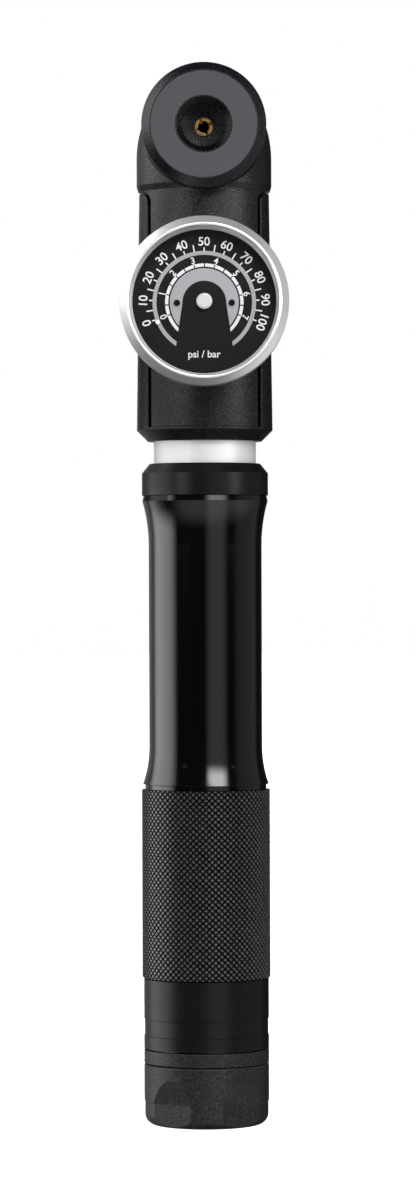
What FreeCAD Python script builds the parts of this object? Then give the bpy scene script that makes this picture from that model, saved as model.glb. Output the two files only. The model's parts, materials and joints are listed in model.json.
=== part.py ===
import FreeCAD, Part
import math
import os

# Telescoping hand pump with a pressure gauge, standing on its end cap, closed.
# Millimetres. The pump's axis is +Z, z = 0 is the cap's bottom, and the gauge and port face -Y.

Vec = FreeCAD.Vector

# Heights along the pump
CAP_TOP = 13.4
FLANGE_TOP = 16.5
BASE_TOP = 32.3
GRIP_TOP = 73.5
SLEEVE_RIM = 74.7
WAIST_LOW = 83.0
WAIST_HIGH = 127.0
SLEEVE_TOP = 137.9
COLLAR_TOP = 144.9
HEAD_BOTTOM = 149.8
BAND_TOP = 152.7
CHEEK_TOP = 204.1
SHOULDER_LOW = 204.5
SHOULDER_MID = 211.6
HEAD_TOP = 230.6
GAUGE_Z = 179.4
PORT_Z = 217.6

# Radii of the handle's outside
CAP_R = 13.7
BASE_R = 13.7
GRIP_R = 14.05
SLEEVE_CORE_R = 12.6
RIM_R = 13.85
WAIST_R = 12.4
COLLAR_R = 13.85

# The sliding fit: the cylinder tube runs inside the sleeve
TUBE_R = 11.2
TUBE_BORE_R = 9.72
SLEEVE_BORE_R = 11.72
TUBE_LOW = 28.0
TUBE_TOP = 160.0
GUIDE_LOW = 29.0
GUIDE_HEIGHT = 6.0
STROKE = 92.0
GAP = 0.05
ROD_R = 6.0
ROD_BORE_R = 5.2
ROD_LOW = 20.6
ROD_TOP = 138.0
PISTON_TOP = 146.0
WIPER_HEIGHT = 2.5

# The cap's thread
SPIGOT_R = 8.95
SPIGOT_TOP = 20.4
CAP_BORE_R = 6.6
SCALLOPS = 5
SCALLOP_TOP = 10.5
SCALLOP_FULL = 5.3
SCALLOP_DEPTH = 1.04
CAP_EDGE_R = 2.5

# The head
HEAD_R = 14.8
CHEEK_TOP_R = 14.25
PANEL_HALF = 11.6
SEAM = 0.4
BAND_SEAM = 0.1
GROOVE_FLOOR_R = 13.4
CHEEK_CURVE = 2.3
CHEEK_EDGE = 0.3
CHAMFER = 2.4
AIR_R = 1.2
CHAMBER_R = 4.0
CHAMBER_TOP = 168.0
VALVE_R = 2.6
FRAME_SCREW_Z = (165.0, 199.0)
FRAME_SCREW_Y = 2.0

# The gauge, in depths along Y (front faces are the most negative)
CASE_R = 17.3
CASE_FRONT = -20.6
CASE_BACK = -10.5
BEZEL_R = 18.25
BEZEL_FRONT = -24.0
BEZEL_LIP_R = 16.9
LENS_FRONT = -22.5
LENS_BACK = -21.0
DIAL_FRONT = -19.5
DIAL_BACK = -19.0
DIAL_R = 16.2
STEM_R = 3.0
FRONT_PLATE = (-18.2, -17.6)
REAR_PLATE = (-12.9, -12.3)
ARBOR_R = 0.4
SCREW_X = 5.9
SCREW_DROP = 0.35
MODULE = 0.25
PINION_TEETH = 10
SECTOR_TEETH = 60
SECTOR_SWEEP = 37.0
GEAR_FRONT = -16.8
GEAR_BACK = -15.4
ZERO_ANGLE = 204.1
MARK_R = 11.0
POINTER_FRONT = -20.35
TUBE_COIL_R = 13.2

# The hose port, in depths along Y
PORT_R = 13.5
PORT_FRONT = -20.05
PORT_BACK = -8.05
FACE_Y = -20.0
FACE_R = 11.5
MOUTH_R = 5.95
SOCKET_R = 4.75
SOCKET_OUT_R = 6.2
SOCKET_DEEP = -16.3
NOZZLE_BORE_R = 2.65
TIP_R = 1.95
TIP_BORE_R = 1.25
TIP_SLOT = 0.62
TIP_SLOT_DEEP = 4.2
RIDGES = 4
RIDGE = 0.7
FUNNEL_BACK = SOCKET_DEEP + RIDGES * RIDGE


def upright(radius, height):
    """A point of a half section turned about the pump's axis."""
    return Vec(radius, 0, height)


def facing(centre_z):
    """Points (radius, depth) of a half section turned about a line along Y."""
    return lambda radius, depth: Vec(radius, depth, centre_z)


def face(place, start, steps):
    """Close an outline into a face. A step is an end point, or a (middle, end) pair for an arc."""
    edges = []
    here = start
    for step in steps + [start]:
        if isinstance(step[0], tuple):
            middle, end = step
            edges.append(Part.Arc(place(*here), place(*middle), place(*end)).toShape())
        else:
            end = step
            edges.append(Part.LineSegment(place(*here), place(*end)).toShape())
        here = end
    return Part.Face(Part.Wire(edges))


def turned(start, steps):
    """A solid of revolution about the pump's axis."""
    return face(upright, start, steps).revolve(Vec(0, 0, 0), Vec(0, 0, 1), 360)


def turned_front(centre_z, start, steps):
    """A solid of revolution about a line along Y at the height centre_z."""
    section = face(facing(centre_z), start, steps)
    return section.revolve(Vec(0, 0, centre_z), Vec(0, 1, 0), 360)


def disc(radius, low, high):
    return Part.makeCylinder(radius, high - low, Vec(0, 0, low))


def ring(outer, inner, low, high):
    return disc(outer, low, high).cut(disc(inner, low - 1, high + 1))


def rod_y(radius, front, back, centre_z, x=0.0):
    return Part.makeCylinder(radius, back - front, Vec(x, front, centre_z), Vec(0, 1, 0))


def ring_y(outer, inner, front, back, centre_z, x=0.0):
    hole = rod_y(inner, front - 1, back + 1, centre_z, x)
    return rod_y(outer, front, back, centre_z, x).cut(hole)


def block(x0, x1, y0, y1, z0, z1):
    return Part.makeBox(x1 - x0, y1 - y0, z1 - z0, Vec(x0, y0, z0))


def o_ring(major, section, height):
    return Part.makeTorus(major, section, Vec(0, 0, height), Vec(0, 0, 1))


def o_ring_y(major, section, depth, centre_z):
    return Part.makeTorus(major, section, Vec(0, depth, centre_z), Vec(0, 1, 0))


# ---------------------------------------------------------------- handle


def flare(rise, reach):
    """How far a flare of radius reach stands out after the given rise."""
    return reach - math.sqrt(reach * reach - rise * rise)


def handle_sleeve():
    """Long tube: waisted where it is bare, straight under the grip and the base."""
    top_reach = 35.0
    low_reach = 25.0
    lip = 1.2
    rise = SLEEVE_TOP - lip - WAIST_HIGH
    drop = WAIST_LOW - SLEEVE_RIM
    top_r = WAIST_R + flare(rise, top_reach)
    low_r = WAIST_R + flare(drop, low_reach)
    neck_top = SLEEVE_TOP + 3.1
    groove_r = RIM_R - 0.55
    middle_top = (WAIST_R + flare(rise / 2, top_reach), WAIST_HIGH + rise / 2)
    middle_low = (WAIST_R + flare(drop / 2, low_reach), WAIST_LOW - drop / 2)
    steps = [
        (SLEEVE_CORE_R, FLANGE_TOP + 0.1),
        (SLEEVE_CORE_R, GRIP_TOP),
        (groove_r, GRIP_TOP + 0.15),
        (groove_r, SLEEVE_RIM - 0.15),
        (low_r, SLEEVE_RIM),
        (middle_low, (WAIST_R, WAIST_LOW)),
        (WAIST_R, WAIST_HIGH),
        (middle_top, (top_r, SLEEVE_TOP - lip)),
        (top_r - 0.25, SLEEVE_TOP),
        (SLEEVE_CORE_R, SLEEVE_TOP),
        (SLEEVE_CORE_R, neck_top),
        (SLEEVE_BORE_R, neck_top),
    ]
    return turned((SLEEVE_BORE_R, FLANGE_TOP + 0.1), steps)


def collar():
    """Ring screwed on the sleeve's neck. Its lip holds the wiper."""
    neck_top = SLEEVE_TOP + 3.1
    pocket_top = neck_top + WIPER_HEIGHT + 0.1
    steps = [
        (COLLAR_R, SLEEVE_TOP + 0.05),
        (COLLAR_R, COLLAR_TOP - 2.1),
        (COLLAR_R - 1.7, COLLAR_TOP),
        (TUBE_R + 0.35, COLLAR_TOP),
        (TUBE_R + 0.35, pocket_top),
        (SLEEVE_CORE_R + 0.02, pocket_top),
    ]
    return turned((SLEEVE_CORE_R + 0.02, SLEEVE_TOP + 0.05), steps)


def collar_wiper():
    low = SLEEVE_TOP + 3.1 + GAP
    return ring(SLEEVE_CORE_R - 0.1, TUBE_R + GAP, low, low + WIPER_HEIGHT)


def slide_bush():
    """Plain bearing at the sleeve's top. Its lower edge is the stop of the stroke."""
    low = GUIDE_LOW + GUIDE_HEIGHT + STROKE
    return ring(SLEEVE_BORE_R, TUBE_R + GAP, low, SLEEVE_TOP + 3.1)


def knurled_grip():
    bevel = 0.4
    steps = [
        (GRIP_R - bevel, BASE_TOP + 0.1),
        (GRIP_R, BASE_TOP + 0.1 + bevel),
        (GRIP_R, GRIP_TOP - bevel),
        (GRIP_R - bevel, GRIP_TOP),
        (SLEEVE_CORE_R, GRIP_TOP),
    ]
    return turned((SLEEVE_CORE_R, BASE_TOP + 0.1), steps)


def handle_base():
    """Smooth barrel below the grip, with a shallow band turned in it."""
    band = 0.15
    band_low = 19.7
    band_high = 23.4
    steps = [
        (BASE_R, FLANGE_TOP + 0.35),
        (BASE_R, band_low),
        (BASE_R - band, band_low + 0.1),
        (BASE_R - band, band_high - 0.1),
        (BASE_R, band_high),
        (BASE_R, BASE_TOP - 0.25),
        (BASE_R - 0.25, BASE_TOP),
        (SLEEVE_CORE_R, BASE_TOP),
    ]
    return turned((SLEEVE_CORE_R, FLANGE_TOP + 0.35), steps)


def end_plug():
    """Closes the sleeve, holds the rod, and takes the cap's thread."""
    top = 24.0
    thread_r = SPIGOT_R + GAP
    seal_r = thread_r + 1.6
    low = CAP_TOP + 0.3
    steps = [
        (BASE_R, FLANGE_TOP),
        (SLEEVE_BORE_R, FLANGE_TOP),
        (SLEEVE_BORE_R, top),
        (ROD_R, top),
        (ROD_R, ROD_LOW),
        (thread_r, ROD_LOW),
        (thread_r, CAP_TOP + 1.8),
        (seal_r, CAP_TOP + 1.8),
        (seal_r, low),
    ]
    return turned((BASE_R, low), steps)


def piston_rod():
    return ring(ROD_R, ROD_BORE_R, ROD_LOW, ROD_TOP)


def piston():
    """Head with a seal groove, on a stem that plugs the rod's top."""
    groove_low = 141.0
    groove_high = 143.2
    groove_r = 7.85
    piston_r = TUBE_BORE_R - GAP
    steps = [
        (ROD_BORE_R, ROD_TOP - 10),
        (ROD_BORE_R, ROD_TOP),
        (piston_r, ROD_TOP),
        (piston_r, groove_low),
        (groove_r, groove_low),
        (groove_r, groove_high),
        (piston_r, groove_high),
        (piston_r, PISTON_TOP),
        (0, PISTON_TOP),
    ]
    return turned((0, ROD_TOP - 10), steps)


def piston_seal():
    section = 0.9
    return o_ring(TUBE_BORE_R - GAP / 2 - section, section, 142.1)


def bump_stop():
    return ring(TUBE_BORE_R - 0.3, ROD_R + 0.05, 24.0, 27.0)


def guide_bush():
    """Ring in the groove at the tube's foot. It slides in the sleeve and turns on the tube."""
    low = GUIDE_LOW + GAP
    return ring(SLEEVE_BORE_R - GAP, TUBE_R - 0.4, low, GUIDE_LOW + GUIDE_HEIGHT - GAP)


# ---------------------------------------------------------------- cap


def scallop(angle):
    """Flat finger facet that runs in towards the bottom, so that its top is an arch."""
    half = 8.0
    points = [
        (CAP_R, SCALLOP_TOP),
        (CAP_R - SCALLOP_DEPTH, SCALLOP_FULL),
        (CAP_R - SCALLOP_DEPTH - 0.1, -1.0),
        (CAP_R + 3, -1.0),
        (CAP_R + 3, SCALLOP_TOP),
    ]
    corners = [Vec(r, -half, z) for r, z in points]
    cutter = Part.Face(Part.makePolygon(corners + corners[:1])).extrude(Vec(0, 2 * half, 0))
    cutter.rotate(Vec(0, 0, 0), Vec(0, 0, 1), angle)
    return cutter


def end_cap():
    """Screw cap with five facets and a hollow threaded spigot."""
    lean = 0.15
    curve = CAP_EDGE_R * math.sqrt(0.5)
    low_r = CAP_R - lean
    hub_r = low_r - CAP_EDGE_R
    middle = (hub_r + curve, CAP_EDGE_R - curve)
    groove_r = SPIGOT_R - 0.15
    steps = [
        (hub_r, 0),
        (middle, (low_r, CAP_EDGE_R)),
        (low_r, SCALLOP_FULL),
        (CAP_R, SCALLOP_FULL + 0.12),
        (CAP_R, CAP_TOP - 0.2),
        (CAP_R - 0.2, CAP_TOP),
        (groove_r, CAP_TOP),
        (groove_r, CAP_TOP + 1.8),
        (SPIGOT_R, CAP_TOP + 1.8),
        (SPIGOT_R, SPIGOT_TOP),
        (CAP_BORE_R, SPIGOT_TOP),
        (CAP_BORE_R, 3.0),
        (0, 3.0),
    ]
    cap = turned((0, 0), steps)
    for number in range(SCALLOPS):
        cap = cap.cut(scallop(-90 + 36 + number * 360 / SCALLOPS))
    return cap


def cap_seal():
    section = 0.6
    return o_ring(SPIGOT_R + GAP + section, section, CAP_TOP + GAP + section + 0.05)


# ---------------------------------------------------------------- head


def lower_head():
    """Round head below the notch, slightly narrower at its top."""
    steps = [
        (HEAD_R + 0.1 - CHAMFER, HEAD_BOTTOM),
        (HEAD_R + 0.1, HEAD_BOTTOM + CHAMFER),
        (CHEEK_TOP_R, CHEEK_TOP),
        (0, CHEEK_TOP),
    ]
    return turned((0, HEAD_BOTTOM), steps)


def upper_head():
    """Shoulders and an elliptical dome above the notch, as one turned shape."""
    centre = Vec(0, 0, SHOULDER_MID)
    crown = Vec(0, 0, HEAD_TOP)
    side = Vec(HEAD_R, 0, SHOULDER_MID)
    dome = Part.ArcOfEllipse(Part.Ellipse(crown, side, centre), 0, math.pi / 2).toShape()
    corners = [side, Vec(HEAD_R, 0, SHOULDER_LOW + 1.2), Vec(HEAD_R - 0.35, 0, SHOULDER_LOW),
               Vec(0, 0, SHOULDER_LOW), crown]
    section = Part.Face(Part.Wire([dome] + Part.makePolygon(corners).Edges))
    return section.revolve(Vec(0, 0, 0), Vec(0, 0, 1), 360)


def gauge_pocket():
    return rod_y(CASE_R + GAP, -30, CASE_BACK + GAP, GAUGE_Z)


def screw_hole(side, height):
    """Countersunk hole through a cheek and into the head."""
    out = Vec(side, 0, 0)
    seat = Vec(side * (HEAD_R - 2.6), FRAME_SCREW_Y, height)
    shank = Part.makeCylinder(0.9, 7.2, Vec(side * 7.4, FRAME_SCREW_Y, height), out)
    return shank.fuse(Part.makeCylinder(1.95, 8, seat, out))


def frame_screw_places():
    return [(side, height) for side in (-1, 1) for height in FRAME_SCREW_Z]


def head_body():
    """Moulding with the centre panel, shoulders and dome, and the air ways inside."""
    low = BAND_TOP + BAND_SEAM
    high = SHOULDER_LOW + 0.2
    skin = turned((0, low), [(HEAD_R + 0.1, low), (CHEEK_TOP_R, high), (0, high)])
    core = disc(GROOVE_FLOOR_R, low, high)
    for side in (-1, 1):
        skin = skin.cut(cheek_space(side, SEAM))
        core = core.cut(cheek_space(side, GAP))
    body = skin.fuse(core).fuse(upper_head()).removeSplitter()
    body = body.cut(gauge_pocket())
    body = body.cut(rod_y(PORT_R + GAP, -30, PORT_BACK + GAP, PORT_Z))
    body = body.cut(disc(TUBE_R + 0.02, HEAD_BOTTOM, TUBE_TOP))
    body = body.cut(disc(CHAMBER_R, TUBE_TOP - 1, CHAMBER_TOP))
    body = body.cut(disc(AIR_R, CHAMBER_TOP - 1, PORT_Z + AIR_R))
    body = body.cut(rod_y(AIR_R, -10, 0, PORT_Z))
    body = body.cut(rod_y(STEM_R + 0.02, -12, -2, GAUGE_Z))
    body = body.cut(rod_y(AIR_R, -3, 0, GAUGE_Z))
    for side, height in frame_screw_places():
        body = body.cut(screw_hole(side, height))
    return body


def cheek_space(side, clear=0.0):
    """One cheek's outline from the front, grown by a clearance. Its corner by the panel is round."""
    inner = PANEL_HALF + SEAM - clear
    curve = CHEEK_CURVE + clear
    top = CHEEK_TOP + clear
    soft = curve * (1 - math.sqrt(0.5))
    place = lambda x, z: Vec(side * x, -20, z)
    steps = [
        (inner, top - curve),
        ((inner + soft, top - soft), (inner + curve, top)),
        (20, top),
        (20, BAND_TOP - 1),
    ]
    return face(place, (inner, BAND_TOP - 1), steps).extrude(Vec(0, 40, 0))


def beside_panel(edge):
    """True for an edge where a cheek's outside meets its flat inner side."""
    box = edge.BoundBox
    inner = PANEL_HALF + SEAM
    upright_edge = box.ZLength > 20 and box.XLength < 0.01
    return upright_edge and abs(abs(box.XMin) - inner) < 0.01


def head_frame():
    """U-shaped outer frame: a bottom band round the tube, and two cheeks."""
    outline = block(-20, 20, -20, 20, HEAD_BOTTOM, BAND_TOP)
    outline = outline.fuse(cheek_space(-1)).fuse(cheek_space(1))
    frame = lower_head().common(outline).removeSplitter()
    frame = frame.makeFillet(CHEEK_EDGE, [edge for edge in frame.Edges if beside_panel(edge)])
    frame = frame.cut(disc(TUBE_R + GAP, HEAD_BOTTOM - 1, BAND_TOP + 1))
    frame = frame.cut(gauge_pocket())
    for side, height in frame_screw_places():
        frame = frame.cut(screw_hole(side, height))
    return frame.removeSplitter()


def frame_screws():
    """Four countersunk screws with hexagon sockets."""
    screws = []
    for side, height in frame_screw_places():
        out = Vec(side, 0, 0)
        shank = Part.makeCylinder(0.88, 6.2, Vec(side * 7.6, FRAME_SCREW_Y, height), out)
        head = Part.makeCylinder(1.85, 1.3, Vec(side * (HEAD_R - 2.6), FRAME_SCREW_Y, height), out)
        socket = Part.makeCylinder(0.75, 1.0, Vec(side * 12.7, FRAME_SCREW_Y, height), out)
        screws.append(shank.fuse(head).cut(socket))
    return Part.makeCompound(screws)


def cylinder_tube():
    steps = [
        (TUBE_R, TUBE_LOW),
        (TUBE_R, GUIDE_LOW),
        (TUBE_R - 0.45, GUIDE_LOW),
        (TUBE_R - 0.45, GUIDE_LOW + GUIDE_HEIGHT),
        (TUBE_R, GUIDE_LOW + GUIDE_HEIGHT),
        (TUBE_R, TUBE_TOP),
        (TUBE_BORE_R, TUBE_TOP),
    ]
    return turned((TUBE_BORE_R, TUBE_LOW), steps)


def valve_seat():
    """Plug at the cylinder's top, with the air way and the seal's groove."""
    low = PISTON_TOP + 1.5
    seat_r = TUBE_BORE_R - 0.02
    steps = [
        (seat_r, low),
        (seat_r, 151.0),
        (seat_r - 1.85, 151.0),
        (seat_r - 1.85, 153.2),
        (seat_r, 153.2),
        (seat_r, TUBE_TOP),
        (AIR_R, TUBE_TOP),
    ]
    return turned((AIR_R, low), steps)


def cylinder_seal():
    section = 0.9
    return o_ring(TUBE_BORE_R - 0.02 - section, section, 152.1)


def valve_poppet():
    """Disc that lifts off the seat, with a stem that guides the spring."""
    low = TUBE_TOP + GAP
    return disc(VALVE_R, low, low + 1.2).fuse(disc(0.8, low + 1.2, low + 5.5)).removeSplitter()


def valve_spring():
    """Square-wire helix between the poppet and the chamber's roof."""
    half = 0.2
    coil_r = 2.0
    low = TUBE_TOP + GAP + 1.2 + half + 0.02
    high = CHAMBER_TOP - half - 0.02
    turns = 4
    helix = Part.makeHelix((high - low) / turns, high - low, coil_r)
    helix.translate(Vec(0, 0, low))
    sides = [(-half, -half), (half, -half), (half, half), (-half, half), (-half, -half)]
    section = Part.makePolygon([Vec(coil_r + x, 0, low + z) for x, z in sides])
    return Part.Wire(helix.Edges).makePipeShell([section], True, True)


# ---------------------------------------------------------------- hose port


def port_ring():
    """Round cup with a chamfered front edge. It holds the magnet, face and socket."""
    wall_r = FACE_R + 0.05
    floor_front = PORT_BACK - 1.5
    steps = [
        (PORT_R - 1.8, PORT_FRONT),
        (PORT_R, PORT_FRONT + 1.8),
        (PORT_R, PORT_BACK),
        (NOZZLE_BORE_R + 1.4, PORT_BACK),
        (NOZZLE_BORE_R + 1.4, floor_front),
        (wall_r, floor_front),
    ]
    return turned_front(PORT_Z, (wall_r, PORT_FRONT), steps)


def port_face():
    return ring_y(FACE_R, SOCKET_OUT_R + 0.02, FACE_Y, FACE_Y + 1.0, PORT_Z)


def port_magnet():
    return ring_y(FACE_R, SOCKET_OUT_R + 0.3, FACE_Y + 1.05, -14.0, PORT_Z)


def port_socket():
    """Bush with a bevelled mouth, a plain bore and a ridged funnel down to the nozzle's tip."""
    step_r = (SOCKET_R - 0.3 - NOZZLE_BORE_R) / RIDGES
    lip = FUNNEL_BACK + 0.8
    steps = [
        (SOCKET_R, FACE_Y + 1.2),
        (SOCKET_R, SOCKET_DEEP),
    ]
    for number in range(RIDGES):
        radius = SOCKET_R - 0.3 - number * step_r
        start = SOCKET_DEEP + number * RIDGE
        steps.append((radius, start))
        steps.append((radius - 0.1, start + RIDGE))
    steps += [
        (NOZZLE_BORE_R, FUNNEL_BACK),
        (NOZZLE_BORE_R, lip),
        (TIP_R + 0.05, lip),
        (TIP_R + 0.05, lip + 0.6),
        (NOZZLE_BORE_R + 1.3, lip + 0.6),
        (NOZZLE_BORE_R + 1.3, PORT_BACK - 1.5),
        (SOCKET_OUT_R, PORT_BACK - 1.5),
        (SOCKET_OUT_R, FACE_Y),
    ]
    return turned_front(PORT_Z, (MOUTH_R, FACE_Y), steps)


def port_nozzle():
    """Brass insert behind the socket. Its slim tip is slotted into four fingers."""
    tip_front = FUNNEL_BACK + 0.5
    flange_front = FUNNEL_BACK + 1.45
    flange = ring_y(NOZZLE_BORE_R + 1.25, TIP_BORE_R, flange_front, PORT_BACK, PORT_Z)
    nozzle = flange.fuse(ring_y(TIP_R, TIP_BORE_R, tip_front, PORT_BACK, PORT_Z)).removeSplitter()
    half = TIP_SLOT / 2
    for angle in (-25, 65):
        cut = block(-TIP_R, TIP_R, tip_front - 1, tip_front + TIP_SLOT_DEEP, PORT_Z - half, PORT_Z + half)
        cut.rotate(Vec(0, 0, PORT_Z), Vec(0, 1, 0), angle)
        nozzle = nozzle.cut(cut)
    return nozzle


def port_seal():
    section = 0.5
    return o_ring_y(NOZZLE_BORE_R + 1.35 + 3, section, PORT_BACK - 1.5 - section - GAP, PORT_Z)


# ---------------------------------------------------------------- gauge


def gauge_case():
    """Cup that holds the movement. Its floor has the hole for the stem."""
    wall = 1.0
    steps = [
        (CASE_R, CASE_FRONT),
        (CASE_R, CASE_BACK),
        (STEM_R + 0.02, CASE_BACK),
        (STEM_R + 0.02, CASE_BACK - wall),
        (CASE_R - wall, CASE_BACK - wall),
    ]
    return turned_front(GAUGE_Z, (CASE_R - wall, CASE_FRONT), steps)


def gauge_bezel():
    """Bright ring with a conical front and a rounded lip, pressed over the case."""
    inner = 16.0
    steps = [
        (BEZEL_R, -16.5),
        (BEZEL_R, -22.3),
        (BEZEL_R - 0.15, -22.5),
        (BEZEL_LIP_R, BEZEL_FRONT + 0.3),
        ((BEZEL_LIP_R - 0.4, BEZEL_FRONT), (inner + 0.1, BEZEL_FRONT + 0.2)),
        (inner, BEZEL_FRONT + 0.5),
        (inner, LENS_FRONT - 0.02),
        (CASE_R + 0.02, LENS_FRONT - 0.02),
    ]
    return turned_front(GAUGE_Z, (CASE_R + 0.02, -16.5), steps)


def gauge_lens():
    return rod_y(CASE_R - 0.05, LENS_FRONT, LENS_BACK, GAUGE_Z)


def lens_gasket():
    return ring_y(CASE_R - 0.05, CASE_R - 1.0, LENS_BACK, CASE_FRONT, GAUGE_Z)


def dial_spacer():
    """Bright cone between the lens and the dial's rim."""
    steps = [
        (DIAL_R, LENS_BACK + 0.02),
        (DIAL_R, DIAL_FRONT - 0.01),
        (15.5, DIAL_FRONT - 0.01),
    ]
    return turned_front(GAUGE_Z, (15.85, LENS_BACK + 0.02), steps)


def gauge_dial():
    dial = ring_y(DIAL_R, 0.9, DIAL_FRONT, DIAL_BACK, GAUGE_Z)
    for x in (-SCREW_X, SCREW_X):
        dial = dial.cut(rod_y(0.37, -21, -18, GAUGE_Z - SCREW_DROP, x))
    return dial


def dial_screws():
    screws = []
    height = GAUGE_Z - SCREW_DROP
    for x in (-SCREW_X, SCREW_X):
        head = rod_y(0.68, DIAL_FRONT - 0.35, DIAL_FRONT, height, x)
        shank = rod_y(0.35, DIAL_FRONT, -15.5, height, x)
        slot = block(x - 1, x + 1, DIAL_FRONT - 1, DIAL_FRONT - 0.2, height - 0.1, height + 0.1)
        screws.append(head.fuse(shank).cut(slot))
    return Part.makeCompound(screws)


def movement_plate(front, back):
    """Oval plate with holes for the pointer's arbor, the sector's pivot and the screws."""
    half = 3.4
    pivot_z = GAUGE_Z - gear_distance()
    plate = block(-half, half, front, back, pivot_z, GAUGE_Z)
    plate = plate.fuse(rod_y(half, front, back, GAUGE_Z)).fuse(rod_y(half, front, back, pivot_z))
    ears = block(-SCREW_X, SCREW_X, front, back, GAUGE_Z - SCREW_DROP - 1.3, GAUGE_Z - SCREW_DROP + 1.3)
    plate = plate.fuse(ears)
    for x in (-SCREW_X, SCREW_X):
        plate = plate.fuse(rod_y(1.3, front, back, GAUGE_Z - SCREW_DROP, x))
    plate = plate.cut(rod_y(ARBOR_R + GAP, front - 1, back + 1, GAUGE_Z))
    return plate.cut(rod_y(ARBOR_R + GAP, front - 1, back + 1, pivot_z)).removeSplitter()


def front_plate():
    """Upper plate with two bosses that carry the dial."""
    plate = movement_plate(*FRONT_PLATE)
    for x in (-SCREW_X, SCREW_X):
        plate = plate.fuse(rod_y(1.0, DIAL_BACK, FRONT_PLATE[0], GAUGE_Z - SCREW_DROP, x))
        plate = plate.cut(rod_y(0.37, -21, -17, GAUGE_Z - SCREW_DROP, x))
    return plate


def rear_plate():
    return movement_plate(*REAR_PLATE)


def movement_pillars():
    pillars = []
    for x in (-SCREW_X, SCREW_X):
        pillar = rod_y(1.1, FRONT_PLATE[1], REAR_PLATE[0], GAUGE_Z - SCREW_DROP, x)
        pillars.append(pillar.cut(rod_y(0.37, -19, -15.4, GAUGE_Z - SCREW_DROP, x)))
    return Part.makeCompound(pillars)


def gear_distance():
    return MODULE * (PINION_TEETH + SECTOR_TEETH) / 2


def tooth(pitch_r, angle, height):
    """One narrow straight-sided tooth. Angles are from +X towards +Z about the gear's centre."""
    root = pitch_r - 1.2 * MODULE
    tip = pitch_r + 0.75 * MODULE
    wide = 0.52 * MODULE * math.pi / 2
    narrow = 0.2 * MODULE * math.pi / 2
    corners = [(root, -wide), (tip, -narrow), (tip, narrow), (root, wide)]
    points = [Vec(x, GEAR_FRONT, height + z) for x, z in corners]
    solid = Part.Face(Part.makePolygon(points + points[:1])).extrude(
        Vec(0, GEAR_BACK - GEAR_FRONT, 0))
    solid.rotate(Vec(0, 0, height), Vec(0, -1, 0), angle)
    return solid


def pointer_arbor():
    """Arbor with the pinion cut on it."""
    pitch_r = MODULE * PINION_TEETH / 2
    arbor = rod_y(ARBOR_R, POINTER_FRONT - 0.2, REAR_PLATE[0] + 0.5, GAUGE_Z)
    arbor = arbor.fuse(rod_y(pitch_r - MODULE, GEAR_FRONT, GEAR_BACK, GAUGE_Z))
    for number in range(PINION_TEETH):
        angle = -90 + (number + 0.5) * 360 / PINION_TEETH
        arbor = arbor.fuse(tooth(pitch_r, angle, GAUGE_Z))
    return arbor.removeSplitter()


def sector_gear():
    """Toothed sector on its own arbor, with a tail for the link."""
    pitch_r = MODULE * SECTOR_TEETH / 2
    pivot_z = GAUGE_Z - gear_distance()
    step = 360 / SECTOR_TEETH
    count = 9
    wedge_half = 28.0
    rim = pitch_r - MODULE
    middle = 90 - SECTOR_SWEEP / 2
    place = lambda radius, angle: Vec(
        radius * math.cos(math.radians(angle)),
        GEAR_FRONT,
        pivot_z + radius * math.sin(math.radians(angle)),
    )
    low, high = middle - wedge_half, middle + wedge_half
    steps = [(rim, low), ((rim, middle), (rim, high))]
    web = face(place, (0.0, 0.0), steps).extrude(Vec(0, GEAR_BACK - GEAR_FRONT, 0))
    gear = web.fuse(rod_y(1.4, GEAR_FRONT, GEAR_BACK, pivot_z))
    first = 90 + step
    for number in range(count):
        gear = gear.fuse(tooth(pitch_r, first - number * step, pivot_z))
    tail = block(-3.9, 0, GEAR_FRONT, GEAR_FRONT + 0.6, pivot_z - 0.8, pivot_z + 0.8)
    tail.rotate(Vec(0, 0, pivot_z), Vec(0, 1, 0), -15)
    gear = gear.fuse(tail)
    gear = gear.fuse(rod_y(ARBOR_R, FRONT_PLATE[0] + 0.1, REAR_PLATE[0] + 0.5, pivot_z))
    return gear.removeSplitter()


def bourdon_tube():
    """Flattened C-shaped tube round the movement, closed at its free end."""
    half = 0.8
    place = lambda x, z: Vec(x, -17.0, GAUGE_Z + z)
    bend = Part.Face(Part.Wire(Part.Circle(Vec(0, -17.0, GAUGE_Z), Vec(0, 1, 0),
                                           TUBE_COIL_R + half).toShape()))
    coil = bend.extrude(Vec(0, 4.0, 0)).cut(rod_y(TUBE_COIL_R - half, -18, -12, GAUGE_Z))
    open_steps = [(20, -32), (-20, -32), (-20, -20)]
    gap = face(place, (0, 0), open_steps)
    gap = gap.extrude(Vec(0, 6.0, 0))
    gap.translate(Vec(0, -1, 0))
    return coil.cut(gap)


def gauge_socket():
    """Brass stem, mounting plate and lug that feeds the Bourdon tube."""
    plate = block(-4, 4, REAR_PLATE[1], CASE_BACK - 1.0, GAUGE_Z - 14.5, GAUGE_Z + 4)
    plate = plate.common(rod_y(CASE_R - 1.2, -13, -11, GAUGE_Z))
    stem = rod_y(STEM_R, REAR_PLATE[1], -2.0, GAUGE_Z)
    lug = block(4.8, 7.2, -17.2, REAR_PLATE[1] + 0.8, GAUGE_Z - 13.5, GAUGE_Z - 8.2)
    lug = lug.common(rod_y(CASE_R - 1.2, -18, -11, GAUGE_Z))
    foot = block(2, 7.2, REAR_PLATE[1], REAR_PLATE[1] + 0.8, GAUGE_Z - 13.5, GAUGE_Z - 8.2)
    body = plate.fuse(stem).fuse(lug).fuse(foot)
    return body.cut(rod_y(0.8, -11, -1, GAUGE_Z)).removeSplitter()


def gauge_link():
    """Strip from the Bourdon tube's tip towards the sector's tail."""
    strip = block(-8.4, -3.2, -17.4, -17.0, -0.6, 0.6)
    strip.translate(Vec(0, 0, GAUGE_Z - 10.2))
    return strip


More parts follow.
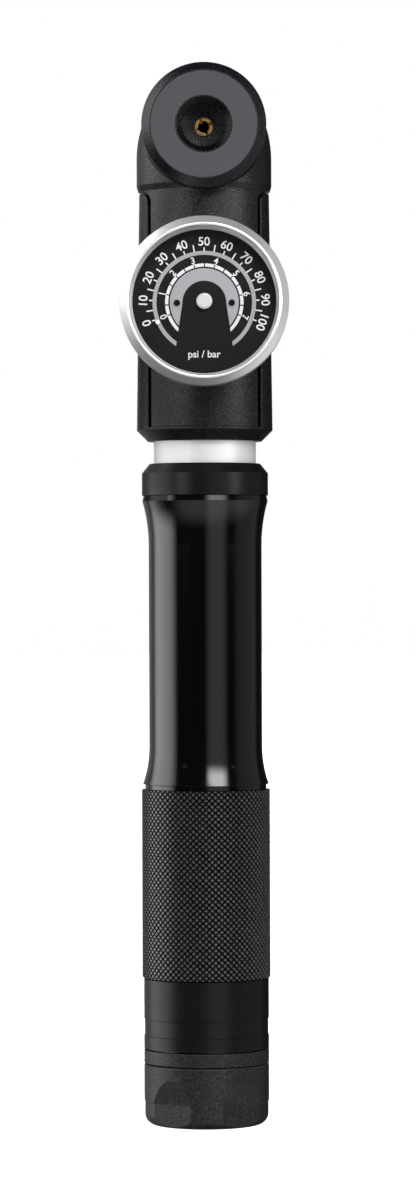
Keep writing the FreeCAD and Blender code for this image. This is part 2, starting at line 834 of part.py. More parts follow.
def pointer_disc():
    """Clear disc that carries the pointer's mark round the dial."""
    return ring_y(11.6, 1.0, POINTER_FRONT, POINTER_FRONT + 0.3, GAUGE_Z)


def pointer_hub():
    """Flanged hub pressed on the arbor. It grips the clear disc."""
    steps = [
        (1.35, POINTER_FRONT - 0.4),
        (1.7, POINTER_FRONT - 0.2),
        (1.7, POINTER_FRONT),
        (1.0, POINTER_FRONT),
        (1.0, POINTER_FRONT + 0.3),
        (1.5, POINTER_FRONT + 0.3),
        (1.5, POINTER_FRONT + 0.6),
        (ARBOR_R, POINTER_FRONT + 0.6),
        (ARBOR_R, POINTER_FRONT - 0.2),
        (0, POINTER_FRONT - 0.2),
    ]
    return turned_front(GAUGE_Z, (0, POINTER_FRONT - 0.4), steps)


def pointer_mark():
    """Raised white dot on the disc. It stands at the dial's zero."""
    angle = math.radians(ZERO_ANGLE)
    x = MARK_R * math.cos(angle)
    height = GAUGE_Z + MARK_R * math.sin(angle)
    return rod_y(0.5, POINTER_FRONT - 0.1, POINTER_FRONT, height, x)


PIECES = [
    handle_sleeve, collar, collar_wiper, slide_bush, knurled_grip, handle_base, end_plug,
    piston_rod, piston, piston_seal, bump_stop, guide_bush, end_cap, cap_seal,
    head_body, head_frame, frame_screws, cylinder_tube, cylinder_seal, valve_seat,
    valve_poppet, valve_spring, port_ring, port_face, port_magnet, port_socket, port_nozzle,
    port_seal, gauge_case, gauge_bezel, gauge_lens, lens_gasket, dial_spacer, gauge_dial,
    dial_screws, front_plate, rear_plate, movement_pillars, bourdon_tube, gauge_socket,
    gauge_link, pointer_disc, pointer_hub, pointer_mark, pointer_arbor, sector_gear,
]


def main():
    os.makedirs("parts", exist_ok=True)
    for build in PIECES:
        shape = build()
        if not shape.isValid():
            raise ValueError(build.__name__ + " is not a valid shape")
        shape.exportStep("parts/" + build.__name__ + ".step")
        print(build.__name__, len(shape.Solids), round(shape.Volume, 1))


main()
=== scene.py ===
import json
import math

import bmesh
import bpy
from mathutils import Matrix, Vector


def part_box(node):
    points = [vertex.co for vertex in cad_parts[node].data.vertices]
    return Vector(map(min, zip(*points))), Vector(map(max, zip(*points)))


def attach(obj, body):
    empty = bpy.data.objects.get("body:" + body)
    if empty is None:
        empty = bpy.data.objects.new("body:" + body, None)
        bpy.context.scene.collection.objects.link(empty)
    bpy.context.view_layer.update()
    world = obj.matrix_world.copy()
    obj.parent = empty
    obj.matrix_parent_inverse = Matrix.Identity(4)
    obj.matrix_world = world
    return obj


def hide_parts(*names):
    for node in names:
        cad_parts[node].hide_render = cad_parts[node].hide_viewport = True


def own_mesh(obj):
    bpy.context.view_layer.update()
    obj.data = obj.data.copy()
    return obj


MM = 0.001
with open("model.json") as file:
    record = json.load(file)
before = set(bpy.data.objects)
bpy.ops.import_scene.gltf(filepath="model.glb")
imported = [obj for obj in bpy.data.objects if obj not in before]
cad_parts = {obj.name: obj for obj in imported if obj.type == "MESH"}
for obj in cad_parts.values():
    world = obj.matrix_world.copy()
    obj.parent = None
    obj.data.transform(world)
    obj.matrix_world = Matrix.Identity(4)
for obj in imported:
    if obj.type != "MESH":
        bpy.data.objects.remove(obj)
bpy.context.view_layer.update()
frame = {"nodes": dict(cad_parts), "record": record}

# ------------------------------------------------------------------ places and sizes

DIAL_LOW, DIAL_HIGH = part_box("gauge_dial")
GAUGE = (DIAL_LOW + DIAL_HIGH) / 2
DIAL_FRONT = DIAL_LOW.y
GRIP_LOW, GRIP_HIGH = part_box("knurled_grip")
GRIP_BORE_R = 12.6 * MM

# The knurl's pitch round the barrel and up it, its grooves' depth, and the share of a diamond's
# width that its flat top takes.
KNURL_ROUND = 1.37 * MM
KNURL_UP = 1.34 * MM
KNURL_DEPTH = 0.45 * MM
KNURL_TOP = 0.58


# ------------------------------------------------------------------ material helpers


class Graph:
    """Adds and joins nodes in one node tree."""

    def __init__(self, tree):
        self.tree = tree

    def node(self, kind, **values):
        """Add a node. Inputs are given by name, with _ for a space, and settings in lower case."""
        node = self.tree.nodes.new(kind)
        for key, value in values.items():
            if hasattr(node, key):
                setattr(node, key, value)
            else:
                node.inputs[key.replace("_", " ")].default_value = value
        return node

    def link(self, source, target):
        self.tree.links.new(source, target)

    def feed(self, node, *values):
        """Give a node's first inputs fixed values or other nodes' outputs. None leaves one alone."""
        for socket, value in zip(node.inputs, values):
            if isinstance(value, bpy.types.NodeSocket):
                self.link(value, socket)
            elif value is not None:
                socket.default_value = value

    def maths(self, operation, first, second=None):
        node = self.node("ShaderNodeMath", operation=operation)
        self.feed(node, first, second)
        return node.outputs["Value"]

    def vector(self, operation, first, second=None, output="Vector"):
        node = self.node("ShaderNodeVectorMath", operation=operation)
        self.feed(node, first, second)
        return node.outputs[output]

    def ramp(self, source, low, high, start=0.0, end=1.0, kind="LINEAR"):
        """Map start..end of a source to low..high."""
        node = self.node("ShaderNodeMapRange", interpolation_type=kind)
        for name, value in (("From Min", start), ("From Max", end), ("To Min", low), ("To Max", high)):
            node.inputs[name].default_value = value
        self.link(source, node.inputs["Value"])
        return node.outputs["Result"]


class Paint(Graph):
    """One procedural material: a principled shader and the nodes that drive it."""

    # Places of the colour sockets on a mix node.
    MIX_FIRST = 6
    MIX_SECOND = 7
    MIX_RESULT = 2

    def __init__(self, name, colour, roughness, metallic=0.0):
        self.material = bpy.data.materials.new(name)
        self.material.use_nodes = True
        super().__init__(self.material.node_tree)
        self.shader = self.tree.nodes["Principled BSDF"]
        self.colour = colour
        self.roughness = roughness
        self.set("Base Color", (*colour, 1.0))
        self.set("Roughness", roughness)
        self.set("Metallic", metallic)
        self.place = self.tree.nodes.new("ShaderNodeTexCoord").outputs["Object"]

    def set(self, socket, value):
        self.shader.inputs[socket].default_value = value

    def to_shader(self, source, socket):
        self.link(source, self.shader.inputs[socket])

    def moved(self, scale, centre=(0, 0, 0)):
        """Object coordinates, shifted to a centre and stretched."""
        shift = self.node("ShaderNodeMapping")
        shift.inputs["Location"].default_value = [-c * s for c, s in zip(centre, scale)]
        shift.inputs["Scale"].default_value = scale
        self.link(self.place, shift.inputs["Vector"])
        return shift.outputs["Vector"]

    def noise(self, scale, detail, where=None, rough=0.5):
        """Cloudy texture with about this many spots to one unit of its place, which is a metre."""
        noise = self.node("ShaderNodeTexNoise", Scale=scale, Detail=detail, Roughness=rough)
        self.link(where or self.place, noise.inputs["Vector"])
        return noise.outputs["Fac"]

    def vary_colour(self, source, other):
        """Mix the base colour towards another where the source is 1."""
        mix = self.node("ShaderNodeMix", data_type="RGBA")
        mix.inputs[self.MIX_FIRST].default_value = (*self.colour, 1.0)
        mix.inputs[self.MIX_SECOND].default_value = (*other, 1.0)
        self.link(source, mix.inputs["Factor"])
        self.to_shader(mix.outputs[self.MIX_RESULT], "Base Color")

    def vary_roughness(self, source, spread):
        self.to_shader(self.ramp(source, self.roughness - spread, self.roughness + spread), "Roughness")

    def edge_mask(self, radius):
        """1 along the edges that turn within a radius, 0 on flat ground."""
        bevel = self.node("ShaderNodeBevel", samples=6, Radius=radius)
        true_normal = self.node("ShaderNodeNewGeometry").outputs["Normal"]
        alike = self.vector("DOT_PRODUCT", bevel.outputs["Normal"], true_normal, "Value")
        return self.ramp(alike, low=1, high=0, start=0.90, end=0.995)

    def bump(self, source, depth, edge=0.0):
        """Relief of a depth in metres. Edges look rounded to the radius edge."""
        bump = self.node("ShaderNodeBump", Strength=1.0, Distance=depth)
        self.link(source, bump.inputs["Height"])
        if edge:
            bevel = self.node("ShaderNodeBevel", samples=4, Radius=edge)
            self.link(bevel.outputs["Normal"], bump.inputs["Normal"])
        self.to_shader(bump.outputs["Normal"], "Normal")


# ------------------------------------------------------------------ materials


def moulded(name, colour, roughness, shine):
    """Dark moulded plastic with a fine spark-eroded grain, lighter specks in the grain and a painted
    highlight along its edges.
    """
    paint = Paint(name, colour, roughness)
    paint.set("Specular IOR Level", shine)
    grain = paint.noise(scale=2700, detail=3, rough=0.65)
    paint.vary_roughness(paint.ramp(grain, low=0, high=1, start=0.35, end=0.65), spread=0.12)
    speckle = paint.ramp(grain, low=0, high=0.9, start=0.50, end=0.75)
    # The grain's specks and a painted highlight along the edges both lift the colour.
    speckle_and_edge_highlight = paint.maths("MAXIMUM", speckle, paint.edge_mask(0.22 * MM))
    speckle_and_highlight_colour = [c * 5.5 for c in colour]
    paint.vary_colour(speckle_and_edge_highlight, speckle_and_highlight_colour)
    paint.bump(grain, 0.10 * MM, edge=0.18 * MM)
    return paint.material


def gloss_lacquer():
    """Deep gloss black tube with a trace of orange peel."""
    paint = Paint("gloss_black", (0.0018, 0.0018, 0.002), 0.10)
    paint.vary_roughness(paint.noise(scale=240, detail=2), spread=0.03)
    paint.bump(paint.noise(scale=420, detail=2), 0.002 * MM)
    return paint.material


def turned_black():
    """Black anodised barrel with faint turning marks round it."""
    paint = Paint("satin_black", (0.0038, 0.0040, 0.0041), 0.34)
    paint.set("Specular IOR Level", 0.22)
    rings = paint.noise(scale=1, detail=3, where=paint.moved((60, 60, 9000)))
    paint.vary_roughness(rings, spread=0.06)
    paint.bump(rings, 0.006 * MM)
    return paint.material


def knurl_black():
    """Black knurl whose diamond tops are painted brighter in uneven patches, a painted highlight."""
    paint = Paint("knurl_black", (0.0034, 0.0034, 0.0038), 0.30)
    radius = paint.vector("LENGTH", paint.moved((1, 1, 0)), output="Value")
    # Painted highlight: the diamonds' tops turn lighter than the grooves, in uneven patches.
    top = paint.ramp(radius, low=0, high=1, start=GRIP_HIGH.x - 0.20 * MM, end=GRIP_HIGH.x)
    highlight_patches = paint.ramp(paint.noise(scale=900, detail=3), low=0.55, high=1, start=0.35, end=0.7)
    paint.vary_colour(paint.maths("MULTIPLY", top, highlight_patches), (0.072, 0.072, 0.076))
    paint.vary_roughness(paint.noise(scale=700, detail=2), spread=0.06)
    return paint.material


def silver():
    """Satin anodised aluminium, drawn along the tube."""
    paint = Paint("tube_silver", (0.77, 0.77, 0.775), 0.5, metallic=0.4)
    lines = paint.noise(scale=1, detail=3, where=paint.moved((5200, 5200, 60)))
    paint.vary_roughness(lines, spread=0.06)
    paint.bump(lines, 0.003 * MM)
    return paint.material


def spun_silver():
    """Bright aluminium turned about the gauge's axis, with fine circular lines."""
    paint = Paint("bezel_silver", (0.86, 0.865, 0.87), 0.34, metallic=0.8)
    radius = paint.vector("LENGTH", paint.moved((1, 0, 1), GAUGE), output="Value")
    outward = paint.node("ShaderNodeCombineXYZ")
    paint.link(paint.maths("MULTIPLY", radius, 9000), outward.inputs["X"])
    lines = paint.noise(scale=1, detail=4, where=outward.outputs["Vector"])
    paint.vary_roughness(lines, spread=0.08)
    paint.bump(lines, 0.002 * MM)
    paint.set("Anisotropic", 0.7)
    round_axis = paint.node("ShaderNodeTangent", direction_type="RADIAL", axis="Y")
    paint.to_shader(round_axis.outputs["Tangent"], "Tangent")
    return paint.material


def blasted_grey():
    """Grey blasted steel of the port's face."""
    paint = Paint("face_grey", (0.040, 0.041, 0.046), 0.50, metallic=0.2)
    grain = paint.noise(scale=5200, detail=2, rough=0.7)
    paint.vary_colour(paint.ramp(grain, low=0, high=1, start=0.4, end=0.8), (0.056, 0.057, 0.063))
    paint.vary_roughness(paint.noise(scale=300, detail=2), spread=0.05)
    paint.bump(grain, 0.010 * MM)
    return paint.material


def metal(name, colour, roughness):
    """Plain turned metal with a worn, uneven sheen."""
    paint = Paint(name, colour, roughness, metallic=1.0)
    marks = paint.noise(scale=2600, detail=3)
    paint.vary_roughness(marks, spread=0.10)
    worn = paint.ramp(marks, low=0, high=0.35, start=0.4, end=0.8)
    paint.vary_colour(worn, [c * 0.75 for c in colour])
    paint.bump(marks, 0.004 * MM)
    return paint.material


def soft(name, colour, roughness):
    """Rubber or plain plastic: matte with a slight mottle."""
    paint = Paint(name, colour, roughness)
    mottle = paint.noise(scale=1800, detail=3)
    pale = paint.ramp(mottle, low=0, high=0.5, start=0.4, end=0.8)
    paint.vary_colour(pale, [c * 1.5 for c in colour])
    paint.vary_roughness(mottle, spread=0.07)
    paint.bump(mottle, 0.008 * MM)
    return paint.material


def printed(name, colour, roughness=0.5):
    """Screen-printed ink or the dial's enamel, with a very fine tooth."""
    paint = Paint(name, colour, roughness)
    paint.set("Specular IOR Level", 0.15)
    tooth = paint.noise(scale=6000, detail=2)
    pale = paint.ramp(tooth, low=0, high=0.3, start=0.4, end=0.8)
    paint.vary_colour(pale, [min(c * 1.15, 1) for c in colour])
    paint.vary_roughness(tooth, spread=0.05)
    return paint.material


def clear(name, film, gloss):
    """Clear window: mostly see-through, more mirror-like at a glancing angle."""
    paint = Paint(name, (0.02, 0.02, 0.02), 0.03)
    paint.set("IOR", 1.49)
    edge = paint.node("ShaderNodeLayerWeight", Blend=0.25)
    paint.to_shader(paint.ramp(edge.outputs["Fresnel"], film, gloss), "Alpha")
    return paint.material


def make_materials():
    """One finish for each material slot of the record."""
    return {
        "charcoal": moulded("charcoal_moulded", (0.0036, 0.0039, 0.0050), 0.25, 0.26),
        "gloss_black": gloss_lacquer(),
        "satin_black": turned_black(),
        "knurl_black": knurl_black(),
        "tube_silver": silver(),
        "bezel_silver": spun_silver(),
        "face_grey": blasted_grey(),
        # The funnel's near-black, darker than the head's charcoal, is its black moulding plus painted
        # shade of the hollow port. A painted highlight sits on its ridges' edges.
        "funnel_black": moulded("funnel_black", (0.0010, 0.0010, 0.0011), 0.26, 0.30),
        "steel": metal("steel", (0.42, 0.42, 0.43), 0.32),
        "magnet": metal("magnet", (0.55, 0.55, 0.55), 0.25),
        "brass": metal("brass", (0.83, 0.50, 0.17), 0.24),
        "bronze": metal("bronze", (0.66, 0.38, 0.16), 0.30),
        "nylon": soft("nylon", (0.74, 0.73, 0.68), 0.45),
        "rubber": soft("rubber", (0.012, 0.012, 0.012), 0.62),
        "dial_black": printed("dial_black", (0.0110, 0.0092, 0.0096), 0.55),
        "clear": clear("clear", film=0.0, gloss=0.25),
        "white": printed("white", (0.95, 0.95, 0.95)),
        "glass": clear("glass", film=0.01, gloss=0.6),
    }


def dress_cad_nodes(materials):
    """Give every CAD node the finish of its record slot, apart from three with their own."""
    dull = moulded("cap_moulded", (0.0102, 0.0104, 0.0112), 0.36, 0.24)
    pale = printed("pale_cone", (0.90, 0.90, 0.91), 0.35)
    own = {"end_cap": dull, "end_plug": dull, "dial_spacer": pale}
    for row in frame["record"]["subparts"]:
        node = row["node"]
        mesh_object = frame["nodes"][node]
        mesh_object.data.materials.clear()
        mesh_object.data.materials.append(own.get(node) or materials[row["material_slot"]])


# ------------------------------------------------------------------ new pieces


def to_data(mesh, name):
    """Turn an editable mesh into mesh data, and free it."""
    data = bpy.data.meshes.new(name)
    mesh.to_mesh(data)
    mesh.free()
    return data


def show(name, data):
    """Put an object with this data into the scene."""
    thing = bpy.data.objects.new(name, data)
    bpy.context.scene.collection.objects.link(thing)
    return thing


def piece(name, mesh, material, body):
    """Put a finished, flat-shaded mesh into the scene as a piece that rides on a body."""
    thing = show(name, mesh)
    mesh.materials.clear()
    mesh.materials.append(material)
    for polygon in mesh.polygons:
        polygon.use_smooth = False
    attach(thing, body)
    return thing


class Knurl:
    """Barrel cut by two sets of crossing spiral grooves, which leave flat-topped diamonds.

    Lattice points are numbered by column round the barrel and row up it. A diamond stands round
    each point whose numbers add up to an odd sum, and its corners lie in the grooves.
    """

    def __init__(self, low, high, bore_r):
        self.radius = high.x
        self.low = low.z
        self.bore_r = bore_r
        self.columns = 2 * round(2 * math.pi * self.radius / KNURL_ROUND)
        self.rows = 2 * round((high.z - low.z) / KNURL_UP)
        self.row_height = (high.z - low.z) / self.rows
        self.mesh = bmesh.new()
        self.valley = {}

    def point(self, column, row, radius):
        angle = 2 * math.pi * column / self.columns
        height = self.low + row * self.row_height
        return self.mesh.verts.new((radius * math.cos(angle), radius * math.sin(angle), height))

    def corner(self, column, row):
        """Lattice point in a groove, made once and shared by the diamonds round it."""
        key = (column % self.columns, row)
        if key not in self.valley:
            self.valley[key] = self.point(column, row, self.radius - KNURL_DEPTH)
        return self.valley[key]

    def diamond(self, column, row):
        """One diamond, or half of one at an end. Returns the first and last point of its top."""
        ways = [(1, 0), (0, 1), (-1, 0), (0, -1)]
        if row == 0:
            ways = [(1, 0), (0, 1), (-1, 0)]
        elif row == self.rows:
            ways = [(-1, 0), (0, -1), (1, 0)]
        foot = [self.corner(column + x, row + y) for x, y in ways]
        top = [self.point(column + x * KNURL_TOP, row + y * KNURL_TOP, self.radius) for x, y in ways]
        self.mesh.faces.new(top)
        whole = len(ways) == 4
        for index in range(4 if whole else 2):
            after = (index + 1) % len(ways)
            self.mesh.faces.new((foot[index], foot[after], top[after], top[index]))
        return top[0], top[-1]

    def join(self, first, second):
        """Faces between two closed rings of as many points."""
        for index in range(len(first)):
            after = (index + 1) % len(first)
            self.mesh.faces.new((first[index], first[after], second[after], second[index]))

    def close_end(self, row, tops):
        """Flat end from the knurl's edge in to the bore. Returns the bore's ring of points."""
        edge = []
        for column in range(self.columns):
            if column in tops:
                first, last = tops[column]
                edge.extend((last, first) if row == 0 else (first, last))
            else:
                edge.append(self.corner(column, row))
        bore = []
        for vert in edge:
            share = self.bore_r / vert.co.xy.length
            bore.append(self.mesh.verts.new((vert.co.x * share, vert.co.y * share, vert.co.z)))
        self.join(edge, bore)
        return bore

    def build(self, name):
        ends = {0: {}, self.rows: {}}
        for row in range(self.rows + 1):
            for column in range((row + 1) % 2, self.columns, 2):
                top_ends = self.diamond(column, row)
                if row in ends:
                    ends[row][column] = top_ends
        low_bore, high_bore = [self.close_end(row, tops) for row, tops in ends.items()]
        self.join(low_bore, high_bore)
        bmesh.ops.recalc_face_normals(self.mesh, faces=self.mesh.faces)
        return to_data(self.mesh, name)


def make_grip(materials):
    data = Knurl(GRIP_LOW, GRIP_HIGH, GRIP_BORE_R).build("grip_knurl")
    grip = piece("grip_knurl", data, materials["knurl_black"], "handle")
    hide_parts("knurled_grip")


def make_spring(materials):
    """The valve's spring, a copy of the CAD spring that rides on the head."""
    data = frame["nodes"]["valve_spring"].data.copy()
    spring = piece("valve_coil", data, materials["steel"], "head")
    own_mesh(spring)
    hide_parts("valve_spring")


# ------------------------------------------------------------------ the dial's print

# Radii and widths of the print are in millimetres. Angles are in degrees, counted from the
# dial's right and upwards from there, so the scales run from about 200 down to -20.
INK_DEPTH = 0.03 * MM
INK_SINK = 0.002 * MM
PRINT_DROP = 0.3 * MM
PRINT = GAUGE - Vector((0, 0, PRINT_DROP))
PSI_ZERO = 199.4
PSI_STEP = -2.188
PSI_TICK_R = 11.1
PSI_SHORT_R = 11.9
PSI_LONG_R = 12.6
PSI_NUMBER_R = 13.2
BAR_ZERO = 199.2
BAR_STEP = -31.3
BAR_LAST = 7
BAR_GAP = 0.9
BAR_INNER_R = 7.75
BAR_OUTER_R = 8.45
BAR_NUMBER_R = 9.35
GREY_INNER_R = 10.3
GREY_OUTER_R = 11.15
CRESCENT_R = 7.42
ARCH_R = 4.72
ARCH_SLOPE = 0.15
UNITS_DROP = 11.3 * MM


def on_dial(radius, angle):
    """A point of the dial's front, as its x and z."""
    turn = math.radians(angle)
    return Vector((PRINT.x + radius * MM * math.cos(turn), PRINT.z + radius * MM * math.sin(turn)))


def at_radius(angle, radius):
    """An angle that may also be given as a function of the radius."""
    return angle(radius) if callable(angle) else angle


class Ink:
    """Thin raised print on the dial, gathered into one mesh."""

    def __init__(self):
        self.mesh = bmesh.new()

    def row(self, points, y):
        return [self.mesh.verts.new((point.x, y, point.y)) for point in points]

    def strip(self, left, right):
        """A flat band between two lines of as many points, raised off the dial."""
        front = DIAL_FRONT - INK_DEPTH
        back = DIAL_FRONT - INK_SINK
        a, b = self.row(left, front), self.row(right, front)
        c, d = self.row(left, back), self.row(right, back)
        for i in range(len(left) - 1):
            for first, second in ((a, b), (b, d), (d, c), (c, a)):
                self.mesh.faces.new((first[i], first[i + 1], second[i + 1], second[i]))
        for i in (0, -1):
            self.mesh.faces.new((a[i], b[i], d[i], c[i]))

    def arc(self, inner, outer, start, end):
        """A stretch of ring, with a point at least every 1.5 degrees."""
        span = abs(at_radius(end, outer) - at_radius(start, outer))
        steps = max(3, int(span / 1.5))

        def line(radius):
            low, high = at_radius(start, radius), at_radius(end, radius)
            return [on_dial(radius, low + (high - low) * i / steps) for i in range(steps + 1)]
        self.strip(line(inner), line(outer))

    def tick(self, inner, outer, angle, width):
        """A short line along a radius."""
        along = on_dial(1, angle) - on_dial(0, angle)
        side = Vector((-along.y, along.x)) * width / 2
        near, far = on_dial(inner, angle), on_dial(outer, angle)
        self.strip([near - side, near + side], [far - side, far + side])

    def words(self, text, size, centre, turn, weight):
        """Set a short text with its middle on a point, turned by an angle in degrees."""
        curve = bpy.data.curves.new("words", "FONT")
        curve.body = text
        curve.size = size * MM
        curve.align_x = "CENTER"
        curve.align_y = "CENTER"
        curve.offset = weight * MM
        curve.extrude = INK_DEPTH / 2
        holder = bpy.data.objects.new("words", curve)
        made = bpy.data.meshes.new_from_object(holder)
        xs = [v.co.x for v in made.vertices]
        ys = [v.co.y for v in made.vertices]
        middle = Vector(((min(xs) + max(xs)) / 2, (min(ys) + max(ys)) / 2, 0))
        stand = Matrix.Rotation(math.radians(90), 4, "X")
        spin = Matrix.Rotation(math.radians(-turn), 4, "Y")
        place = Matrix.Translation((centre.x, DIAL_FRONT - INK_DEPTH / 2, centre.y))
        made.transform(place @ spin @ stand @ Matrix.Translation(-middle))
        self.mesh.from_mesh(made)
        bpy.data.meshes.remove(made)
        bpy.data.objects.remove(holder)
        bpy.data.curves.remove(curve)

    def finish(self, name, material):
        bmesh.ops.recalc_face_normals(self.mesh, faces=self.mesh.faces)
        piece(name, to_data(self.mesh, name), material, "head")


def arch_half_width(drop):
    """Half width of the dial's plain arch, a given distance below the centre."""
    return ARCH_R + ARCH_SLOPE * drop


def arch_angle(radius):
    """Angle below the horizontal where a circle meets the arch's slanting side."""
    low, high = 0.0, 89.0
    halvings = 40
    for _ in range(halvings):
        middle = (low + high) / 2
        drop = radius * math.sin(math.radians(middle))
        across = radius * math.cos(math.radians(middle))
        if across > arch_half_width(drop):
            low = middle
        else:
            high = middle
    return low


def arch_right(radius):
    return -arch_angle(radius)


def arch_left(radius):
    return 180 + arch_angle(radius)


def print_psi_scale(ink):
    for pressure in range(0, 101, 5):
        angle = PSI_ZERO + PSI_STEP * pressure
        numbered = pressure % 10 == 0
        ink.tick(PSI_TICK_R, PSI_SHORT_R if numbered else PSI_LONG_R, angle, width=0.28)
        if numbered:
            place = on_dial(PSI_NUMBER_R, angle)
            ink.words(str(pressure), size=2.62, centre=place, turn=angle - 90, weight=0.035)


def print_bar_scale(ink):
    for half_bar in range(2 * BAR_LAST):
        start = BAR_ZERO + BAR_STEP * half_bar / 2
        end = start + BAR_STEP / 2
        ink.arc(BAR_INNER_R, BAR_OUTER_R, start - BAR_GAP, end + BAR_GAP)
    for bar in range(BAR_LAST + 1):
        angle = BAR_ZERO + BAR_STEP * bar
        ink.tick(BAR_OUTER_R - 0.1, BAR_OUTER_R + 0.2, angle, width=0.22)
        place = on_dial(BAR_NUMBER_R, angle)
        ink.words(str(bar), size=1.95, centre=place, turn=angle - 90, weight=0.03)


def print_ends(ink):
    """Longer dashes that run from both ends of the bar scale to the arch."""
    ink.arc(BAR_INNER_R, BAR_OUTER_R, BAR_ZERO + BAR_GAP, arch_left)
    ink.arc(BAR_INNER_R, BAR_OUTER_R, BAR_ZERO + BAR_STEP * BAR_LAST - BAR_GAP, arch_right)


def print_units(ink):
    place = Vector((PRINT.x, PRINT.z - UNITS_DROP))
    ink.words("psi / bar", size=2.15, centre=place, turn=0, weight=0.03)


def print_crescent(ink):
    """Light crescent between the bar scale and the plain arch."""
    steps = 90
    outside = []
    inside = []
    end = arch_angle(CRESCENT_R)
    for i in range(steps + 1):
        angle = -end + (180 + 2 * end) * i / steps
        outside.append(on_dial(CRESCENT_R, angle))
        height = CRESCENT_R * math.sin(math.radians(angle))
        if height <= 0:
            side = 1 if angle < 90 else -1
            across = side * arch_half_width(-height)
            inside.append(Vector((PRINT.x + across * MM, PRINT.z + height * MM)))
        else:
            inside.append(on_dial(ARCH_R, angle))
    ink.strip(inside, outside)


def make_dial_print(materials):
    grey = printed("print_grey", (0.47, 0.475, 0.50))
    white_ink = Ink()
    print_psi_scale(white_ink)
    print_bar_scale(white_ink)
    print_ends(white_ink)
    print_units(white_ink)
    white_ink.finish("dial_print_white", materials["white"])
    grey_ink = Ink()
    grey_ink.arc(GREY_INNER_R, GREY_OUTER_R, arch_right, arch_left)
    print_crescent(grey_ink)
    grey_ink.finish("dial_print_grey", grey)


# ------------------------------------------------------------------ stage, light and camera

EYE_HEIGHT = 0.117
EYE_DISTANCE = 0.988
EYE_RIGHT = 0.0006
LENS = 137.0
ROLL = 0.18
FLOOR_RADIUS = 8.0
FLOOR_DROP = 7.6 * MM

# Soft lights of the studio, as directions round the pump. Azimuth 0 is the camera's side and 90
# its right. Each row: azimuth, half width at full strength, half width where it has faded out,
# lowest and highest elevation at full strength, and strength. All angles are in degrees.
LIGHTS = [
    (-95, 5, 38, -7, 42, 3.6),
    (23, 3, 26, -45, 42, 0.68),
    (94, 16, 38, -45, 42, 0.27),
    (-155, 10, 45, -45, 42, 0.30),
    (23, 7, 24, 27, 48, 11.0),
    (20, 50, 100, -60, -24, 0.65),
]

# Degrees over which a light fades out above and below, and the faint light from everywhere.
FADE = 14
GLOW = 0.02

# The two cards light the head alone, and the two nets hold the other lights back from it.
CARD_DISTANCE = 0.30
CARD_HEIGHT = 0.205
CARD_AIM = 0.195
CARD_WIDTH = 0.30
CARD_TALL = 0.10
CARD_SPREAD = 28
NET_DISTANCE = 0.12
NET_LOW = 0.1455


def sine(angle):
    return math.sin(math.radians(angle))


def cosine(angle):
    return math.cos(math.radians(angle))


def heading(azimuth):
    """Level direction at an azimuth round the pump."""
    return Vector((sine(azimuth), -cosine(azimuth), 0))


def make_floor():
    """Flat round floor, as low as the end cap goes when it is unscrewed.

    It also glows a little, for an even white ground. The white world behind it is the backdrop
    from every side.
    """
    paint = Paint("pale_floor", (0.8, 0.8, 0.8), 0.9)
    paint.set("Specular IOR Level", 0.0)
    paint.set("Emission Color", (1.0, 1.0, 1.0, 1.0))
    paint.set("Emission Strength", 0.75)
    mesh = bmesh.new()
    bmesh.ops.create_circle(mesh, cap_ends=True, segments=96, radius=FLOOR_RADIUS)
    data = to_data(mesh, "floor")
    data.materials.append(paint.material)
    floor = show("floor", data)
    floor.location.z = -FLOOR_DROP
    floor.visible_diffuse = False
    floor.visible_glossy = False
    floor.visible_shadow = False


def soft_light(sky, way, row):
    """Strength of one row of LIGHTS, in the direction way."""
    azimuth, inner, outer, low, high, strength = row
    level = sky.vector("NORMALIZE", sky.vector("MULTIPLY", way, (1, 1, 0)))
    across = sky.vector("DOT_PRODUCT", level, heading(azimuth), "Value")
    parts = sky.node("ShaderNodeSeparateXYZ")
    sky.link(way, parts.inputs["Vector"])
    rise = parts.outputs["Z"]
    side = sky.ramp(across, 0, strength, cosine(outer), cosine(inner), "SMOOTHSTEP")
    bottom = sky.ramp(rise, 0, 1, sine(low - FADE), sine(low), "SMOOTHSTEP")
    top = sky.ramp(rise, 1, 0, sine(high), sine(high + FADE), "SMOOTHSTEP")
    return sky.maths("MULTIPLY", side, sky.maths("MULTIPLY", bottom, top))


def make_world():
    """Studio of soft lights, on a white ground where the pump is looked past."""
    world = bpy.data.worlds.new("studio")
    world.use_nodes = True
    sky = Graph(world.node_tree)
    way = sky.node("ShaderNodeTexCoord").outputs["Generated"]
    total = GLOW
    for row in LIGHTS:
        total = sky.maths("ADD", soft_light(sky, way, row), total)
    studio = world.node_tree.nodes["Background"]
    studio.inputs["Color"].default_value = (1.0, 1.0, 1.0, 1.0)
    sky.link(total, studio.inputs["Strength"])
    white = sky.node("ShaderNodeBackground", Strength=1.0, Color=(1.0, 1.0, 1.0, 1.0))
    choose = sky.node("ShaderNodeMixShader")
    seen = sky.node("ShaderNodeLightPath").outputs["Is Camera Ray"]
    sky.feed(choose, seen, studio.outputs["Background"], white.outputs["Background"])
    sky.link(choose.outputs["Shader"], world.node_tree.nodes["World Output"].inputs["Surface"])
    bpy.context.scene.world = world


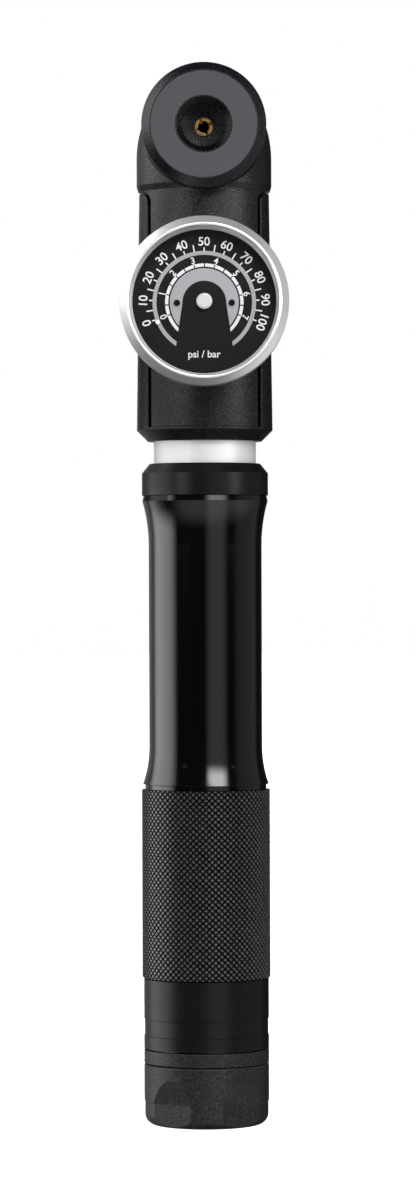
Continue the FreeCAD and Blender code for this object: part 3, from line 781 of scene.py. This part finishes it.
def head_card(name, azimuth, power):
    """Small soft light beside the head, too high to be mirrored in the sleeve."""
    data = bpy.data.lights.new(name, "AREA")
    data.shape = "RECTANGLE"
    data.size = CARD_WIDTH
    data.size_y = CARD_TALL
    data.spread = math.radians(CARD_SPREAD)
    data.energy = power
    light = show(name, data)
    light.location = heading(azimuth) * CARD_DISTANCE + Vector((0, 0, CARD_HEIGHT))
    facing = Vector((0, 0, CARD_AIM)) - light.location
    light.rotation_euler = facing.to_track_quat("-Z", "Y").to_euler()
    light.visible_camera = False


def net(name, azimuth, left, right, high, passed):
    """Upright grey net that holds back the side lights above the sleeve."""
    out = heading(azimuth) * NET_DISTANCE
    along = heading(azimuth + 90)
    corners = []
    for height in (NET_LOW, high):
        for across in (left, right):
            corners.append(out + along * across + Vector((0, 0, height)))
    mesh = bpy.data.meshes.new(name)
    mesh.from_pydata(corners, [], [(0, 1, 3, 2)])
    paint = Paint(name, (0.0, 0.0, 0.0), 1.0)
    veil = paint.node("ShaderNodeBsdfTransparent", Color=(passed, passed, passed, 1.0))
    paint.link(veil.outputs["BSDF"], paint.tree.nodes["Material Output"].inputs["Surface"])
    mesh.materials.append(paint.material)
    sheet = show(name, mesh)
    sheet.visible_camera = False


def make_camera():
    data = bpy.data.cameras.new("camera")
    data.lens = LENS
    data.sensor_width = 36.0
    camera = show("camera", data)
    camera.location = (EYE_RIGHT, -EYE_DISTANCE, EYE_HEIGHT)
    camera.rotation_euler = (math.radians(90), math.radians(ROLL), 0)
    bpy.context.scene.camera = camera
    bpy.context.scene.view_settings.view_transform = "Standard"


# ------------------------------------------------------------------ build

materials = make_materials()
dress_cad_nodes(materials)
make_grip(materials)
make_spring(materials)
make_dial_print(materials)
make_floor()
make_world()
net("left_net", azimuth=-90, left=-0.25, right=0.04, high=0.205, passed=0.22)
net("front_net", azimuth=22, left=-0.045, right=0.045, high=0.215, passed=0.35)
head_card("left_card", azimuth=-42, power=0.032)
head_card("right_card", azimuth=56, power=0.038)
make_camera()
